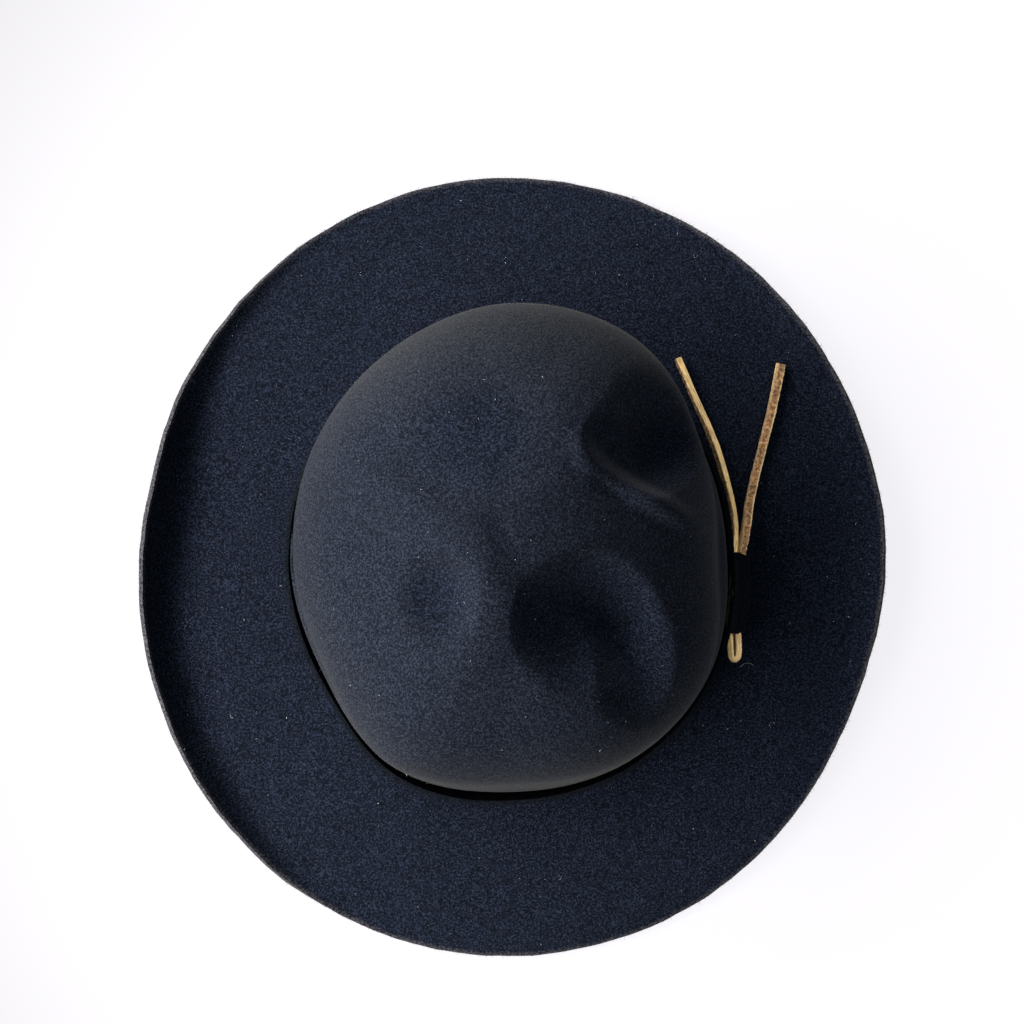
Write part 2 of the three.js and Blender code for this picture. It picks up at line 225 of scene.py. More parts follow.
OUTER_RUN = [
    (96.3, 4.3, 25.0, -44),
    (97.3, 8.5, 24.6, -62),
    (98.6, 14.0, 23.0, -76),
    (99.8, 20.0, 20.3, -86),
    (101.0, 25.5, 17.5, -91),
    (102.5, 31.0, 15.2, -94),
    (104.0, 37.0, 13.8, -95),
    (105.6, 43.0, 13.3, -95),
    (107.2, 49.0, 13.0, -95),
    (108.8, 55.0, 12.7, -94),
    (110.4, 61.0, 12.4, -92),
    (111.9, 67.0, 12.1, -90),
    (113.3, 73.0, 11.7, -86),
    (114.7, 79.5, 11.3, -79),
    (116.1, 86.6, 10.8, -68),
]

for name, run in (("held", HELD_RUN), ("inner", INNER_RUN), ("outer", OUTER_RUN)):
    reach = along(smooth_line(np.array(run)[:, :3]))[-1]
    print(name, "run is", round(float(reach), 1), "mm long")

# %% [markdown]
# ## Materials: colours and one node helper
#
# Colours are given as sRGB hex values, as a colour picker shows them, and one function turns them
# to the linear values that Blender's nodes use. One small function adds a node with its settings
# and its links, and the stops of a colour ramp. A mix node for colours has its share on input 0,
# its two colours on inputs 6 and 7 and its result on output 2.

# %% Colours and nodes
def linear(hex_colour):
    """An sRGB hex colour as linear red, green, blue and alpha."""
    parts = [int(hex_colour[k : k + 2], 16) / 255 for k in (1, 3, 5)]
    return tuple(c / 12.92 if c <= 0.04045 else ((c + 0.055) / 1.055) ** 2.4 for c in parts) + (1.0,)


def add_node(material, kind, links=None, inputs=None, stops=None, **settings):
    """A new node: links are its socket sources, inputs its socket values, settings its properties and
    stops the positions and hex colours of a colour ramp."""
    node = material.node_tree.nodes.new(kind)
    for key, value in settings.items():
        setattr(node, key, value)
    for key, value in (inputs or {}).items():
        node.inputs[key].default_value = value
    for key, source in (links or {}).items():
        material.node_tree.links.new(source, node.inputs[key])
    if stops:
        elements = node.color_ramp.elements
        while len(elements) < len(stops):
            elements.new(0.5)
        for element, (position, colour) in zip(elements, stops):
            element.position = position
            element.color = linear(colour)
    return node


def new_material(name):
    """A node material with its own shader and the object's coordinates."""
    material = bpy.data.materials.new(name)
    material.use_nodes = True
    shader = material.node_tree.nodes["Principled BSDF"]
    where = add_node(material, "ShaderNodeTexCoord").outputs["Object"]
    return material, shader, where


# %% [markdown]
# ## Material: fulled wool felt
#
# Fulled felt is a mat of wool fibres with no weave. Up close it shows a fine pepper-and-salt grain,
# because single fibres lie in every direction and catch the light differently, and over some
# centimetres the nap is brushed in soft clouds. It has no gloss, only the faint pale rim of
# light that loose fibres give (sheen). The grain is about 0.6 mm; it is drawn at 0.8 mm, so that it
# shows from 80 cm, over a coarser mottling. The crown's colour is greyer than the brim's: in part the
# raised nap of a brushed crown, in part painted sheen, most of all round its shoulder, and painted
# light at its back. In the dents less of that grey is mixed in, which is painted shade. Where the
# felt is cut, the fibres stand up and look lighter.

# %% Fulled wool felt
GRAIN = 0.8  # mm
MOTTLE = 3.2  # mm
CLOUD = 34.0  # mm


def wool_felt(name, deep, body, fibre, worn, nap_and_sheen, sheen):
    """Dyed wool felt: colours of its deep tone, body, single fibres and cut edges, and the crown's grey of
    raised nap with painted sheen.
    """
    material, shader, where = new_material(name)
    fine = add_node(
        material,
        "ShaderNodeTexNoise",
        {"Vector": where},
        {"Scale": 1 / (GRAIN * MM), "Detail": 2.0, "Roughness": 0.6},
    )
    coarse = add_node(
        material,
        "ShaderNodeTexNoise",
        {"Vector": where},
        {"Scale": 1 / (MOTTLE * MM), "Detail": 4.0, "Roughness": 0.65},
    )
    cloud = add_node(
        material,
        "ShaderNodeTexNoise",
        {"Vector": where},
        {"Scale": 1 / (CLOUD * MM), "Detail": 3.0, "Roughness": 0.55, "Distortion": 0.4},
    )
    shades = {}
    for part, pattern, stops in (
        ("grain", fine, [(0.38, deep), (0.50, body), (0.66, fibre)]),
        ("mottling", coarse, [(0.35, deep), (0.62, body)]),
        ("clouds", cloud, [(0.42, "#000000"), (0.68, "#8a8a8a")]),
        # the crown's grey: raised nap, with painted sheen and painted shade
        ("nap and painted sheen", fine, [(0.36, body), (0.66, nap_and_sheen)]),
        ("cut edge", fine, [(0.35, body), (0.7, worn)]),
    ):
        ramp = add_node(material, "ShaderNodeValToRGB", {"Fac": pattern.outputs["Fac"]}, stops=stops)
        shades[part] = ramp.outputs["Color"]
    mottled = add_node(
        material, "ShaderNodeMix", {6: shades["grain"], 7: shades["mottling"]}, {0: 0.45}, data_type="RGBA"
    )
    colour = mottled.outputs[2]
    # nap attribute: raised nap with painted sheen, and less in the dents as painted shade
    nap = add_node(material, "ShaderNodeAttribute", attribute_name="nap")
    cut = add_node(material, "ShaderNodeAttribute", attribute_name="cut")
    for share, over in (
        (shades["clouds"], shades["grain"]),
        (nap.outputs["Fac"], shades["nap and painted sheen"]),
        (cut.outputs["Fac"], shades["cut edge"]),
    ):
        layered = add_node(material, "ShaderNodeMix", {0: share, 6: colour, 7: over}, data_type="RGBA")
        colour = layered.outputs[2]
    height = add_node(
        material,
        "ShaderNodeMath",
        {0: fine.outputs["Fac"], 1: coarse.outputs["Fac"]},
        operation="ADD",
    )
    bump = add_node(
        material,
        "ShaderNodeBump",
        {"Height": height.outputs[0]},
        {"Strength": 0.55, "Distance": 0.35 * MM},
    )
    links = material.node_tree.links
    links.new(colour, shader.inputs["Base Color"])
    links.new(bump.outputs["Normal"], shader.inputs["Normal"])
    shader.inputs["Roughness"].default_value = 0.92
    shader.inputs["Specular IOR Level"].default_value = 0.05
    shader.inputs["Sheen Weight"].default_value = sheen
    shader.inputs["Sheen Roughness"].default_value = 0.4
    shader.inputs["Sheen Tint"].default_value = linear("#fff9ec")
    return material


navy_felt = wool_felt(
    "fulled_wool_felt_navy",
    deep="#04060c",
    body="#101420",
    fibre="#2d3546",
    worn="#5a5656",
    # grey of the crown's raised nap and painted sheen
    nap_and_sheen="#2d2f31",
    sheen=0.06,
)
# The band's felt: darker colours and no sheen, painted shade for the shade it lies in.
band_felt_painted_shade = wool_felt(
    "fulled_wool_felt_band_painted_shade",
    deep="#030408",
    body="#080b12",
    fibre="#181e29",
    worn="#1c1f24",
    nap_and_sheen="#181e29",
    sheen=0.0,
)
print("felt", navy_felt.name, band_felt_painted_shade.name)

# %% [markdown]
# ## Material: leather of the lace
#
# The lace is cut from vegetable-tanned hide. Its cut edges are firm and pale, with the lines of the
# hide's layers running along them. Its flesh side is rough: short brown fibres and pits, like
# suede. Both patterns are stretched along the lace, so they read its own UV map, whose u runs along
# the lace and v across it, in metres. The corners are rubbed pale.

# %% Leather of the lace
def lace_leather(name, colours, grain, stretch, depth, roughness):
    """Leather seen along a lace: colour stops, size of its grain in mm, stretch along, relief in mm."""
    material, shader, _ = new_material(name)
    own = add_node(material, "ShaderNodeUVMap", uv_map="lace")
    run = add_node(
        material,
        "ShaderNodeMapping",
        {"Vector": own.outputs["UV"]},
        {"Scale": (1 / stretch, 1.0, 1.0)},
    )
    fibres = add_node(
        material,
        "ShaderNodeTexNoise",
        {"Vector": run.outputs["Vector"]},
        {"Scale": 1 / (grain * MM), "Detail": 4.0, "Roughness": 0.7},
    )
    blotch = add_node(
        material,
        "ShaderNodeTexNoise",
        {"Vector": own.outputs["UV"]},
        {"Scale": 1 / (7 * MM), "Detail": 2.0},
    )
    colour = add_node(material, "ShaderNodeValToRGB", {"Fac": fibres.outputs["Fac"]}, stops=colours)
    stain = add_node(
        material,
        "ShaderNodeValToRGB",
        {"Fac": blotch.outputs["Fac"]},
        stops=[(0.35, "#a3a3a3"), (0.65, "#ffffff")],
    )
    shaded = add_node(
        material,
        "ShaderNodeMix",
        {6: colour.outputs["Color"], 7: stain.outputs["Color"]},
        {0: 0.5},
        data_type="RGBA",
        blend_type="MULTIPLY",
    )
    corner = add_node(material, "ShaderNodeAttribute", attribute_name="corner")
    paled = add_node(
        material,
        "ShaderNodeMix",
        {0: corner.outputs["Fac"], 6: shaded.outputs[2]},
        {7: linear("#c4b294")},
        data_type="RGBA",
    )
    bump = add_node(
        material,
        "ShaderNodeBump",
        {"Height": fibres.outputs["Fac"]},
        {"Strength": 0.8, "Distance": depth * MM},
    )
    links = material.node_tree.links
    links.new(paled.outputs[2], shader.inputs["Base Color"])
    links.new(bump.outputs["Normal"], shader.inputs["Normal"])
    shader.inputs["Roughness"].default_value = roughness
    shader.inputs["Specular IOR Level"].default_value = 0.3
    return material


cut_edge = lace_leather(
    "veg_tan_leather_cut_edge",
    [(0.38, "#7f6036"), (0.48, "#b99558"), (0.62, "#dcc28e")],
    grain=0.45,
    stretch=12.0,
    depth=0.12,
    roughness=0.55,
)
grain_side = lace_leather(
    "veg_tan_leather_grain_side",
    [(0.34, "#7c6040"), (0.50, "#a5845a"), (0.66, "#c2a276")],
    grain=0.8,
    stretch=2.0,
    depth=0.12,
    roughness=0.6,
)
flesh_side = lace_leather(
    "veg_tan_leather_flesh_side",
    [(0.34, "#2f1f10"), (0.46, "#6c4a2c"), (0.56, "#977048"), (0.66, "#bb966c")],
    grain=1.2,
    stretch=1.2,
    depth=0.6,
    roughness=0.9,
)
print("leather", cut_edge.name, grain_side.name, flesh_side.name)

# %% [markdown]
# ## The lace
#
# The lace is a strip with a square section swept along its run. Its section has small rounded
# corners, and a few points across each side, so that the flesh side can be made uneven. Its corners
# and width wander by a tenth of a millimetre, as a strip cut with a knife does. Each side of the
# strip gets its own leather: cut edges above and below, the grain side and the flesh side. Operators
# act on all that is selected, so a small helper first selects one piece alone.

# %% Section of the lace
CORNER = 0.35
ACROSS = 5
SIDES = ("outer_face", "top_edge", "inner_face", "bottom_edge")


def lace_section():
    """Points round the section, counted from its middle, with the side that each belongs to."""
    half = (LACE_EDGE / 2, LACE_FACE / 2)
    ways = (((1, 0), (0, 1)), ((0, 1), (-1, 0)), ((-1, 0), (0, -1)), ((0, -1), (1, 0)))
    points = []
    for side, (out, over) in enumerate(ways):
        reach = half[0] if out[0] else half[1]
        width = (half[1] if out[0] else half[0]) - CORNER
        for k in range(ACROSS):
            across = width * (2 * k / (ACROSS - 1) - 1)
            points.append((out[0] * reach + over[0] * across, out[1] * reach + over[1] * across, side))
    return points


print("section has", len(lace_section()), "points")


# %% Handling of one piece
def select_only(piece):
    """Deselects everything, and makes one piece selected and active."""
    if bpy.context.object and bpy.context.object.mode != "OBJECT":
        bpy.ops.object.mode_set(mode="OBJECT")
    bpy.ops.object.select_all(action="DESELECT")
    piece.select_set(True)
    bpy.context.view_layer.objects.active = piece


def mark_points(piece, name, values):
    """Gives each point of a piece's mesh a number that a material can read by this name."""
    piece.data.attributes.new(name, "FLOAT", "POINT").data.foreach_set("value", values)


# %% Strip of lace along a run
STEP_ALONG = 0.5  # mm between two rings of points
STEP_ROUND = 0.65  # mm between two points of a ring, for the UV map
WANDER = 0.10  # mm that the knife wanders
DIMPLED = 0.02  # mm of relief on every side
PITTED = 0.24  # mm of pits on the flesh side
HAIRY = 0.26  # mm of fibres on the flesh side
RUBBED = 0.22  # how pale the corners are, 0 to 1
CUT_EDGE, GRAIN_SIDE, FLESH_SIDE = 0, 1, 2  # places in the list of leathers


def lace_strip(name, run, flesh, seed, wide=1.0):
    """A strip of leather along a run; flesh is +1 or -1, the face that is the flesh side."""
    rows = np.array(run, float)
    line = smooth_line(rows)
    line = spaced(line, int(along(line[:, :3])[-1] / STEP_ALONG))
    centre, roll = line[:, :3], np.radians(line[:, 3])
    ahead = np.gradient(centre, axis=0)
    ahead /= np.linalg.norm(ahead, axis=1, keepdims=True)
    side = np.cross(ahead, (0.0, 0.0, 1.0))
    side /= np.linalg.norm(side, axis=1, keepdims=True)
    high = np.cross(side, ahead)
    turned = side * np.cos(roll)[:, None] - high * np.sin(roll)[:, None]
    upward = high * np.cos(roll)[:, None] + side * np.sin(roll)[:, None]
    section = lace_section()
    far = along(centre)
    points = []
    for i in range(len(centre)):
        for s, h, _ in section:
            spot = Vector((far[i] * 0.35 + seed * 7.0, s * 0.3 + seed, h * 0.3))
            wander = WANDER * noise.noise(spot)
            ragged = smooth_step(s * flesh, 0.2, LACE_EDGE / 2)
            pits = noise.noise(Vector((far[i] * 1.1 + seed * 11.0, s * 1.3, h * 1.3)))
            hairy = noise.noise(Vector((far[i] * 2.6 + seed * 5.0, s * 2.0, h * 2.0)))
            out = wander + DIMPLED * pits + ragged * (PITTED * pits + HAIRY * hairy)
            scale = 1.0 + out / max(math.hypot(s, h), 0.1)
            points.append(centre[i] + turned[i] * s * scale + upward[i] * h * wide * scale)
    count = len(section)
    faces, materials, uvs = [], [], []
    for i in range(len(centre) - 1):
        for k in range(count):
            n = (k + 1) % count
            faces.append((i * count + k, i * count + n, (i + 1) * count + n, (i + 1) * count + k))
            which = SIDES[section[k][2]]
            edge = which in ("top_edge", "bottom_edge")
            rough = which == ("outer_face" if flesh > 0 else "inner_face")
            materials.append(CUT_EDGE if edge else (FLESH_SIDE if rough else GRAIN_SIDE))
            v0, v1 = k * STEP_ROUND * MM, (k + 1) * STEP_ROUND * MM
            u0, u1 = far[i] * MM, far[i + 1] * MM
            uvs += [(u0, v0), (u0, v1), (u1, v1), (u1, v0)]
    last = (len(centre) - 1) * count
    caps = (tuple(range(count))[::-1], tuple(last + k for k in range(count)))
    for cap in caps:
        faces.append(cap)
        materials.append(CUT_EDGE)
        uvs += [(0.3 * section[k % count][0] * MM, section[k % count][1] * MM) for k in cap]
    mesh = bpy.data.meshes.new(name)
    mesh.from_pydata(place(points).tolist(), [], faces)
    layer = mesh.uv_layers.new(name="lace")
    layer.data.foreach_set("uv", np.array(uvs, float).ravel())
    for material in (cut_edge, grain_side, flesh_side):
        mesh.materials.append(material)
    mesh.polygons.foreach_set("material_index", materials)
    piece = bpy.data.objects.new(name, mesh)
    bpy.context.scene.collection.objects.link(piece)
    rubbed = [RUBBED if k % ACROSS in (0, ACROSS - 1) else 0.0 for k in range(count)]
    mark_points(piece, "corner", rubbed * len(centre))
    select_only(piece)
    bpy.ops.object.mode_set(mode="EDIT")
    bpy.ops.mesh.select_all(action="SELECT")
    bpy.ops.mesh.normals_make_consistent(inside=False)
    bpy.ops.object.mode_set(mode="OBJECT")
    bpy.ops.object.shade_smooth_by_angle(angle=math.radians(38))
    print(name, len(mesh.polygons), "faces,", round(float(far[-1]), 1), "mm")
    return piece, place(centre), float(far[-1]) * MM


# %% The lace's held part and its two ends
lace_bight, _, _ = lace_strip("leather_lace_bight", HELD_RUN, flesh=1, seed=3)
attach(lace_bight, "root")
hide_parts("lace_bight")

for name, node, run, flesh, seed, wide in (
    ("leather_lace_end_inner", "lace_tail_inner", INNER_RUN, -1, 5, 1.0),
    ("leather_lace_end_outer", "lace_tail_outer", OUTER_RUN, 1, 8, 1.18),
):
    end, path, length = lace_strip(name, run, flesh, seed, wide=wide)
    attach(end, "root")
    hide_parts(node)

# %% [markdown]
# ## The felt: tables of its shape
#
# The solid in the frame has tables like these. Here the crown's foot and shoulder, its dents and
# the rolled edge are matched more closely. The outline table says, every 30 degrees, how far the
# brim's edge, the crown's foot and the crown's shoulder reach, and how far the shoulder is pressed
# down behind its crease. The edge table says how high the brim's edge stands and how it rolls up.
# The crown table goes up the crown. The dents are the places where a hand has pushed the top in:
# each has a steep side and a shallow one. The falls are the wide slopes to the left and right. The
# folds are where fingers have pushed along a line: the steep hollow and the right leg of the arch.
# The lip beside the hollow and the crest are ridges. The trim table says how far the hand-cut edge
# strays from a smooth outline.

# %% Tables of the felt
FELT = 2.2  # thickness
BRIM_HEIGHT = 12.2  # top of the brim at the crown's foot
BREAK = 3.0  # width of the bend between crown and brim
CREASE = 0.62  # share of the shoulder's reach where the pressing down starts
PRESS = 1.5  # how gently it starts
SETTLED = 0.12  # felt lower than this rests on the surface

# angle, brim, foot, shoulder, press
OUTLINE = [
    (0, 159.5, 90.5, 81.5, 0),
    (30, 162.6, 91.8, 88.0, 0),
    (60, 167.8, 95.0, 98.6, 2),
    (90, 170.4, 97.0, 101.1, 6),
    (120, 166.8, 95.5, 97.0, 12),
    (150, 160.4, 93.0, 93.4, 10),
    (180, 156.8, 92.2, 88.9, 3),
    (210, 161.1, 91.4, 86.2, 0),
    (240, 164.9, 98.2, 93.6, 0),
    (270, 166.4, 95.6, 88.7, 0),
    (300, 163.8, 95.8, 90.8, 0),
    (330, 158.0, 94.5, 89.3, 0),
]
# angle, how far the hand-cut edge strays outwards
TRIM = [
    (0, -0.9),
    (15, -1.2),
    (30, -0.9),
    (60, -0.6),
    (75, 0.2),
    (90, 0.0),
    (105, 1.1),
    (120, 1.0),
    (135, -0.4),
    (150, -1.1),
    (158, -2.0),
    (166, -2.9),
    (175, -1.9),
    (187, -0.8),
    (205, -1.1),
    (222, -0.4),
    (237, 0.6),
    (250, 1.1),
    (270, 0.5),
    (305, 0.6),
    (322, 0.8),
    (333, -0.1),
    (347, -1.3),
]
# angle, lift of the underside, width of the roll, height of the roll
EDGE = [
    (0, 9, 14, 5),
    (30, 6, 16, 5),
    (60, 2, 12, 3),
    (90, -2.5, 8, 0),
    (120, 1, 6, 1.5),
    (144, 6, 9, 6),
    (168, 9, 16, 13.5),
    (192, 8, 14, 11),
    (216, 4, 12, 8),
    (235, 2, 8, 3),
    (252, 1, 6, -1),
    (272, 1.5, 7, -1.8),
    (300, 3.5, 8, -1.5),
    (330, 8, 8, 1),
]
# height, blend from the foot's outline to the shoulder's, size
CROWN = [
    (15.2, 0.0, 1.0),
    (34.0, 0.12, 1.0),
    (56.0, 0.55, 1.0),
    (80.0, 1.0, 1.0),
    (92.0, 1.0, 0.972),
    (102.0, 1.0, 0.905),
    (110.5, 1.0, 0.8),
    (116.5, 1.0, 0.655),
    (120.5, 1.0, 0.47),
    (122.5, 1.0, 0.24),
    (123.0, 1.0, 0.0),
]
# x, y, direction of the steep side, reach that way, away from it, to both sides, depth, crispness
DENTS = [
    (-14, 44, 128, 30, 36, 34, 5, 1.4),  # dish, back left
    (74, 38, 0, 18, 22, 26, 5, 2.0),  # the steep hollow runs out over the shoulder
    (-26, -17, 0, 14, 20, 20, 8, 1.6),  # dent, front left
    (28, -27, 160, 30, 28, 29, 13, 1.25),  # arch, front right
    (62, -26, 0, 24, 24, 34, 2, 2.0),  # soft hollow outside of the arch
]
FALLS = [
    (-84, 4, 0, 76, 50, 110, 24, 2.0),  # the crown falls off to its left side
    (84, 0, 180, 86, 40, 105, 17, 2.0),  # and to its right side
]
# points of the line with the depth there, reach to both sides, crispness, down (1) or up (-1)
HOLLOW = [(45, 39, 12), (52, 42, 17), (55, 47, 13), (54, 53, 5)]
ARCH_LEG = [(29, -12, 2), (38, -19, 5), (44, -30, 8.5), (46, -41, 9), (45, -50, 6)]
LIP = [(25, 41, 1.5), (31, 33.5, 5), (41.5, 26, 6), (51.5, 21, 5.5), (61, 16, 4), (70, 11, 1.5)]
CREST = [(-66, 42, 2), (-43, 20, 3.3), (-22, 5, 3), (-11, -10, 3), (-9, -25, 2.8), (-15, -42, 1)]
FOLDS = [(HOLLOW, 21, 1.35, 1), (ARCH_LEG, 16, 1.6, 1), (LIP, 6.5, 1.8, -1), (CREST, 16, 2.0, -1)]
print(len(OUTLINE), "outline rows,", len(DENTS), "dents,", len(FOLDS), "folds")


# %% Depth of the dents and height of the brim
def dent_depth(x, y, dents):
    """How deep these dents and the folds together are at a place of the crown's top."""
    total = np.zeros_like(x)
    for at_x, at_y, turn, near, far, across, depth, crisp in dents:
        c, s = math.cos(math.radians(turn)), math.sin(math.radians(turn))
        u = (x - at_x) * c + (y - at_y) * s
        v = ((y - at_y) * c - (x - at_x) * s) / across
        u = np.where(u > 0, u / near, u / far)
        away = np.hypot(u, v) + 1e-9
        power = crisp + (2 - crisp) * (0.5 - 0.5 * u / away)
        total += depth * np.clip(1 - away**2, 0, 1) ** power
    for points, wide, crisp, way in FOLDS:
        fold = np.zeros_like(x)
        for fold_x, fold_y, depth in smooth_line(points, between=6):
            near = np.clip(1 - ((x - fold_x) ** 2 + (y - fold_y) ** 2) / wide**2, 0, 1)
            fold = np.maximum(fold, depth * near**crisp)
        total += way * fold
    return total


def brim_edge(angle):
    """How far the brim's edge is from the axis."""
    return round_the_hat(OUTLINE, 1, angle) + round_the_hat(TRIM, 1, angle)


def brim_top(angle, reach):
    """Height of the brim's top."""
    foot = round_the_hat(OUTLINE, 2, angle)
    edge = brim_edge(angle)
    lift, width, roll = (round_the_hat(EDGE, k, angle) for k in (1, 2, 3))
    share = (reach - foot) / (edge - foot)
    rolled = np.clip(1 - (edge - reach) / width, 0, None)
    under = (BRIM_HEIGHT - FELT) * (1 - share) + lift * share + roll * rolled**2
    return np.maximum(under, 0) + FELT


STATIONS = (0.0, 0.06, 0.14, 0.24, 0.36, 0.48, 0.6, 0.7, 0.79, 0.86, 0.91, 0.95, 0.98, 1.0)
BETWEEN = 16


def felt_lines(angle):
    """Lines down the hat from the crown's middle to the brim's edge, one for each angle."""
    foot, shoulder, press = (round_the_hat(OUTLINE, k, angle) for k in (2, 3, 4))
    brim = brim_edge(angle)
    rows = []
    for height, blend, size in CROWN[::-1]:
        reach = (foot + (shoulder - foot) * blend) * size
        rows.append(np.stack([reach, np.full_like(reach, height)], axis=-1))
    for station in STATIONS:
        reach = foot + BREAK + (brim - foot - BREAK) * station
        rows.append(np.stack([reach, brim_top(angle, reach)], axis=-1))
    line = smooth_line(np.stack(rows, axis=1), between=BETWEEN)
    reach, height = line[..., 0].copy(), line[..., 1].copy()
    c, s = np.cos(np.radians(angle))[:, None], np.sin(np.radians(angle))[:, None]
    pressed = np.clip((reach / shoulder[:, None] - CREASE) / (1 - CREASE), 0, 1) ** PRESS
    depth = dent_depth(reach * c, reach * s, DENTS + FALLS) + press[:, None] * pressed
    height -= depth * smooth_step(height, 40, 75)
    return reach, height


# %% [markdown]
# ## The felt: crown and brim in one piece
#
# A felt hat is one sheet, from the middle of the crown to the brim's edge. It is made here the same
# way: a flat round blank of felt is laid out first, with rings and spokes, by extruding the rim of
# a circle again and again. Then each point of the blank is drawn over the block, to where the
# tables say. Solidify gives the sheet its 2.2 mm, and Bevel rounds the cut edge of the brim.

# %% A flat blank of felt
SPOKES = 360
RINGS = 112
BLANK = 0.235

bpy.ops.object.select_all(action="DESELECT")
bpy.ops.mesh.primitive_circle_add(
    vertices=SPOKES, radius=BLANK / RINGS, fill_type="TRIFAN", location=(0, 0, 0)
)
hat = bpy.context.object
hat.name = hat.data.name = "felt_hat"
bpy.ops.object.mode_set(mode="EDIT")
bpy.ops.mesh.select_all(action="SELECT")
bpy.ops.mesh.region_to_loop()
for ring in range(1, RINGS):
    bpy.ops.mesh.extrude_edges_move()
    grow = (ring + 1) / ring
    bpy.ops.transform.resize(value=(grow, grow, 1), center_override=(0, 0, 0))
bpy.ops.object.mode_set(mode="OBJECT")
print("blank", len(hat.data.vertices), "points,", round(hat.dimensions.x, 3), "m across")

# %% The blank drawn over the block
def points_of(piece):
    """The points of a piece's mesh, in metres, one in each row."""
    points = np.zeros(len(piece.data.vertices) * 3)
    piece.data.vertices.foreach_get("co", points)
    return points.reshape(-1, 3)


flat = points_of(hat)
spoke = np.degrees(np.arctan2(flat[:, 1], flat[:, 0]))
ring_at = np.hypot(flat[:, 0], flat[:, 1]) / BLANK

spoke_number = np.round(spoke * SPOKES / 360).astype(int) % SPOKES
spoke_angle = np.arange(SPOKES) * 360 / SPOKES
line_reach, line_height = felt_lines(spoke_angle)
blocked = np.zeros_like(flat)
for number in range(SPOKES):
    mine = spoke_number == number
    line = np.stack([line_reach[number], line_height[number]], axis=1)
    far = along(line)
    at = ring_at[mine] * far[-1]
    reach = np.interp(at, far, line[:, 0])
    turn = math.radians(spoke_angle[number])
    blocked[mine, 0] = reach * math.cos(turn)
    blocked[mine, 1] = reach * math.sin(turn)
    blocked[mine, 2] = np.interp(at, far, line[:, 1])
print("blocked, top at", round(float(blocked[:, 2].max()), 1), "mm")


# %% [markdown]
# ### Hand-made unevenness
#
# Steam and hands leave the felt slightly wavy, by a fraction of a millimetre over some centimetres,
# and the shears that cut the brim wander a little. The foot of the crown is left as it is, because
# the band lies there.

# %% Uneven felt and a hand-cut edge
def wavy(points, size, seed):
    """Smooth noise between -1 and 1 at each point, with waves of that many millimetres."""
    return np.array([noise.noise(Vector(p) / size + Vector((seed, seed * 3.1, 0))) for p in points])


clear_of_band = smooth_step(np.abs(blocked[:, 2] - 24.0), 14, 26)
on_brim = smooth_step(ring_at, 0.74, 0.80)
soft = np.maximum(clear_of_band * (1 - on_brim), on_brim * smooth_step(ring_at, 0.76, 0.9))
blocked[:, 2] += soft * (0.5 * wavy(blocked, 26, 1) + 0.25 * wavy(blocked, 11, 2))
outward = blocked[:, :2] / np.maximum(np.hypot(blocked[:, 0], blocked[:, 1]), 1e-6)[:, None]
shears = smooth_step(ring_at, 0.93, 1.0) * (0.4 * wavy(blocked, 17, 4) + 0.25 * wavy(blocked, 5, 6))
blocked[:, :2] += outward * shears[:, None]
blocked[:, 2] = np.maximum(blocked[:, 2], FELT)
hat.data.vertices.foreach_set("co", place(blocked).ravel())
hat.data.update()
print("waves up to", round(float(np.abs(soft).max() * 0.75), 2), "mm")

# %% Thickness, rounded edge and smooth shading
def thicken(piece, thickness, offset, rounding, segments):
    """Gives a sheet of felt its thickness and rounds its cut edges, in millimetres."""
    thick = piece.modifiers.new("felt thickness", "SOLIDIFY")
    thick.thickness = thickness * MM
    thick.offset = offset
    rounded = piece.modifiers.new("rounded cut edge", "BEVEL")
    rounded.width = rounding * MM
    rounded.segments = segments
    rounded.limit_method = "ANGLE"
    rounded.angle_limit = math.radians(60)
    select_only(piece)
    for modifier in ("felt thickness", "rounded cut edge"):
        bpy.ops.object.modifier_apply(modifier=modifier)


select_only(hat)
bpy.ops.object.mode_set(mode="EDIT")
bpy.ops.mesh.select_all(action="SELECT")
bpy.ops.mesh.normals_make_consistent(inside=False)
bpy.ops.object.mode_set(mode="OBJECT")
if hat.data.polygons[0].normal.z < 0:
    hat.data.flip_normals()
thicken(hat, FELT, offset=-1.0, rounding=0.35, segments=3)
settled = points_of(hat)
settled[settled[:, 2] < SETTLED * MM, 2] = 0.0
hat.data.vertices.foreach_set("co", settled.ravel())
bpy.ops.object.shade_smooth_by_angle(angle=math.radians(50))
print("felt hat", len(hat.data.polygons), "faces")

# %% Where the felt is cut, and where raised nap, painted sheen and painted shade lie
# Share of the crown's grey: over the whole crown raised nap and painted sheen, round the shoulder painted
# sheen, at the back painted light, and less in the dents as painted shade.
NAP_AND_SHEEN_ON_CROWN = 0.25
PAINTED_SHEEN_AT_SHOULDER = 0.25
PAINTED_LIGHT_BEHIND = 0.55
PAINTED_SHADE_IN_DENTS = 0.8

from_axis = settled / MM - AXIS
turn = np.degrees(np.arctan2(from_axis[:, 1], from_axis[:, 0]))
to_edge = brim_edge(turn) - np.hypot(from_axis[:, 0], from_axis[:, 1])
mark_points(hat, "cut", 0.85 * (1 - smooth_step(to_edge, 0.1, 0.7)))
shoulder = round_the_hat(OUTLINE, 3, turn)
# painted sheen towards the crown's outline
at_shoulder = smooth_step(np.hypot(from_axis[:, 0], from_axis[:, 1]) / shoulder, 0.75, 1.0)
# painted light on the back of the crown
behind = smooth_step(from_axis[:, 1], 40, 90)
# painted shade in the dents
dent_shade_share = smooth_step(dent_depth(from_axis[:, 0], from_axis[:, 1], DENTS), 0.5, 5)
